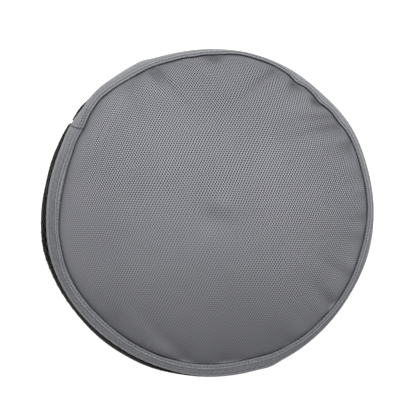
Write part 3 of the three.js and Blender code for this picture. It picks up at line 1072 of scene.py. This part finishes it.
def tapeMaterial():
    # plain tape: ribs along its length, cross threads and slubs; painted light towards the back, painted
    # highlights on its rounded outer edge and along two creases, painted shade towards the front, in its
    # grooves, at the seam and beside the lapped end, and the back-tacks' dark holes
    shader = Shader("grey_binding_tape")
    vector, u, v = shader.clothPlace()
    place = shader.objectPlace()
    across, inner, lap = shader.mark("tapeAcross"), shader.mark("tapeIn"), shader.mark("tapeLap")
    ribs = shader.wave(v, threadWidth["tapeRib"])
    cross = shader.wave(u + v * 0.35, threadWidth["tapeCross"])
    slanting = u * 0.9 + v * 0.5 + shader.noise(vector, 300.0, 1.0) * 0.9
    weft = shader.wave(slanting, threadWidth["tapeWeft"])
    coarse = shader.wave(v + shader.noise(vector, 250.0, 1.0) * 0.5, threadWidth["tapeCoarse"])
    fibre = shader.noise(vector, 1900.0, 3.0)
    slubs = shader.noise(vector, 760.0, 1.0)
    slow = shader.noise(place, 45.0, 3.0)
    ground = shader.mix(shader.step(slow, 0.3, 0.7), colours["tapeDark"], colours["tapePale"])
    threads = 0.16 * ribs + 0.1 * cross + 0.4 * weft + 0.3 * coarse + 2.7 * slubs
    x, y = shader.distances(place)
    back = shader.step(0.34 * x + 0.94 * y, -35.0, 75.0)
    # painted shade: darker towards the front, over the middle of the tape
    paintedShade = (0.5 - 0.5 * back) * shader.step(inner, 2.1, 3.0) * (1.0 - shader.step(across, 0.78, 0.95))
    # strength of the painted highlights on the two crests, more at the back
    highlightStrength = 0.4 + 0.25 * back
    # painted shade in the two grooves, along the seam, more at the back, and beside the lapped end
    grooveShade = 0.6 * shader.ridge(inner, binding["stitchIn"], 0.4) + 0.4 * shader.ridge(inner, 2.75, 0.4)
    seam = (0.06 + 0.14 * back) * shader.ridge(inner, 0.0, 0.3)
    lapped = 0.6 * shader.ridge(lap, -0.2, 0.35) * shader.step(across, 0.02, 0.1)
    tackPitch = 2 * math.pi * tapeRadius / binding["tackCount"]
    tacked = shader.step(lap, 0.6, 1.4) * (1.0 - shader.step(lap, 7.5, 8.5))
    tackRows = tacked * shader.ridge(inner, 2.45, 1.1)
    tackHoles = tackRows * shader.step(shader.wave(u, tackPitch), -0.4, 0.8)
    layers = [
        (threads - 1.1, "tapeBetween"),
        # painted shade towards the front
        (paintedShade, "tapePaintedShade"),
        # painted light towards the back
        (0.5 * back * shader.step(across, 0.05, 0.5), "tapePaintedLight"),
        # painted highlight on the rounded outer edge
        (0.42 * shader.ridge(across, 0.90, 0.12), "tapeEdgeHighlight"),
        # painted highlights on the two crests
        (highlightStrength * shader.ridge(inner, 2.15, 0.45), "tapeCreaseHighlight"),
        (highlightStrength * shader.ridge(inner, 0.8, 0.45), "tapeRollHighlight"),
        # painted shade in the grooves, at the seam and beside the lap, and the back-tacks' dark holes
        (grooveShade + seam + lapped + 0.7 * tackHoles, "tapeGrooveShadeAndHoles"),
        ((fibre - 0.45) * 0.3, "tapeFuzz"),
    ]
    colour = shader.layered(ground, layers)
    height = 0.3 * cross - 0.5 * ribs + (fibre - 0.5) * 0.9
    return shader.finish(colour, height, bumpDepth["tape"], 0.5 + 0.12 * fibre, shine["tape"])


def blackMaterial():
    # black twill: diagonal wales, a little lighter where the cloth is brushed
    shader = Shader("black_wall_cloth")
    vector, u, v = shader.clothPlace()
    place = shader.objectPlace()
    wales = shader.wave(u + v * 0.9, threadWidth["wallWale"])
    picks = shader.wave(u - v * 0.35, threadWidth["wallPick"])
    fibre = shader.noise(vector, 1700.0, 3.0)
    slow = shader.noise(place, 40.0, 3.0)
    ground = shader.mix(shader.step(slow, 0.3, 0.75), colours["wallDark"], colours["wallPale"])
    layers = [(0.25 + 0.25 * wales, "wallWale"), ((fibre - 0.5) * 0.08, "wallFuzz")]
    colour = shader.layered(ground, layers)
    height = 0.5 * wales + 0.2 * picks + (fibre - 0.5) * 0.8
    return shader.finish(colour, height, bumpDepth["wall"], 0.8 + 0.2 * fibre, shine["wall"])


def threadMaterial(name, ply, twist):
    # plied thread: slanting bands round it, with a little fluff
    shader = Shader(name)
    vector, u, v = shader.clothPlace()
    plies = shader.wave(u + v * 0.8, twist)
    fibre = shader.noise(vector, 5000.0, 2.0)
    colour = shader.mix(0.5 + 0.35 * plies + (fibre - 0.5) * 0.3, *ply)
    height = plies * 0.6 + fibre * 0.4
    return shader.finish(colour, height, bumpDepth["thread"], 0.55 + 0.2 * fibre, shine["thread"])


# The object

pique, tape, black = piqueMaterial(), tapeMaterial(), blackMaterial()
greyThread = threadMaterial("grey_thread", colours["greyPly"], threadWidth["fineTwist"])
lightThread = threadMaterial("light_thread", colours["lightPly"], threadWidth["thickTwist"])
darkThread = threadMaterial("dark_thread", colours["darkPly"], threadWidth["fineTwist"])
print("materials made")

makeCrown(pique)
makeBinding(tape)
makeWall(black)
print("cloth pieces made")

topstitching(greyThread)
latticeStitching(darkThread)
pickStitching(lightThread)
print("stitches made")


# Studio

studio = {  # places in metres, powers in watts
    "floorHalf": 3.0,
    "floorHeight": -0.0001,  # clear of the hem that stands on it
    "floorColour": (0.35, 0.35, 0.35, 1),
    "floorRoughness": 0.9,
    "floorGlow": 0.95,
    "keyPlace": (0.0, 0.38, 0.80),
    "keySize": 0.3,
    "keyPower": 5.6,
    "worldColour": (1.0, 1.0, 1.0, 1),
    "worldStrength": 0.45,
}


def makeFloor():
    # a square that glows a little, so that it comes out white
    half = studio["floorHalf"]
    mesh = bpy.data.meshes.new("floor")
    corners = [(-half, -half, 0), (half, -half, 0), (half, half, 0), (-half, half, 0)]
    mesh.from_pydata(corners, [], [(0, 1, 2, 3)])
    shader = Shader("pale_floor")
    inputs = {
        "Base Color": studio["floorColour"],
        "Roughness": studio["floorRoughness"],
        "Emission Color": (1, 1, 1, 1),
        "Emission Strength": studio["floorGlow"],
    }
    surface = shader.make("ShaderNodeBsdfPrincipled", None, inputs)
    shader.make("ShaderNodeOutputMaterial", None, {"Surface": shader.read(surface)})
    mesh.materials.append(shader.material)
    floor = bpy.data.objects.new("floor", mesh)
    floor.location.z = studio["floorHeight"]
    bpy.context.scene.collection.objects.link(floor)


def makeLamp(name, place, size, power):
    # round lamp that faces the origin
    lamp = bpy.data.lights.new(name, "AREA")
    lamp.shape = "DISK"
    lamp.size = size
    lamp.energy = power
    holder = bpy.data.objects.new(name, lamp)
    holder.location = place
    holder.rotation_mode = "QUATERNION"
    holder.rotation_quaternion = (-Vector(place)).to_track_quat("-Z", "Y")
    bpy.context.scene.collection.objects.link(holder)


def makeWorld():
    # even light from all sides
    world = bpy.data.worlds.new("studio_air")
    world.use_nodes = True
    background = world.node_tree.nodes["Background"]
    background.inputs["Color"].default_value = studio["worldColour"]
    background.inputs["Strength"].default_value = studio["worldStrength"]
    bpy.context.scene.world = world


makeFloor()
makeLamp("key", studio["keyPlace"], studio["keySize"], studio["keyPower"])
makeWorld()
bpy.context.scene.view_settings.view_transform = "Standard"


# Camera: nearly straight above, leaning a little towards the lower left of the photograph

photo = {
    "size": 416,  # pixels each way
    "anchorX": 211.0,  # where the middle of the binding's edge stands in the frame
    "anchorY": 212.0,
    "mmPerPixel": 0.524,
    "tilt": 4.7,  # degrees from straight above
    "heading": 200.0,
    "distance": 650.0,
    "anchorHeight": 71.5,
    "sensor": 36.0,
    "nearest": 0.01,  # metres
}


def makeCamera():
    # stands at the anchor plus the distance along the leaning line of sight, with +Y up in the frame
    tilt, heading = math.radians(photo["tilt"]), math.radians(photo["heading"])
    sideways = math.sin(tilt)
    back = Vector((sideways * math.cos(heading), sideways * math.sin(heading), math.cos(tilt)))
    upward = (Vector((0, 1, 0)) - back * back.y).normalized()
    right = upward.cross(back)
    shiftRight = (photo["size"] / 2 - photo["anchorX"]) * photo["mmPerPixel"]
    shiftUp = (photo["anchorY"] - photo["size"] / 2) * photo["mmPerPixel"]
    anchor = Vector((0, 0, photo["anchorHeight"]))
    place = anchor + back * photo["distance"] + right * shiftRight + upward * shiftUp
    lens = bpy.data.cameras.new("camera")
    lens.sensor_width = photo["sensor"]
    lens.lens = photo["sensor"] * photo["distance"] / (photo["mmPerPixel"] * photo["size"])
    lens.clip_start = photo["nearest"]
    camera = bpy.data.objects.new("camera", lens)
    turn = Matrix((right, upward, back)).transposed().to_4x4()
    camera.matrix_world = Matrix.Translation(place * mm) @ turn
    bpy.context.scene.collection.objects.link(camera)
    bpy.context.scene.camera = camera


makeCamera()
print("studio and camera made")
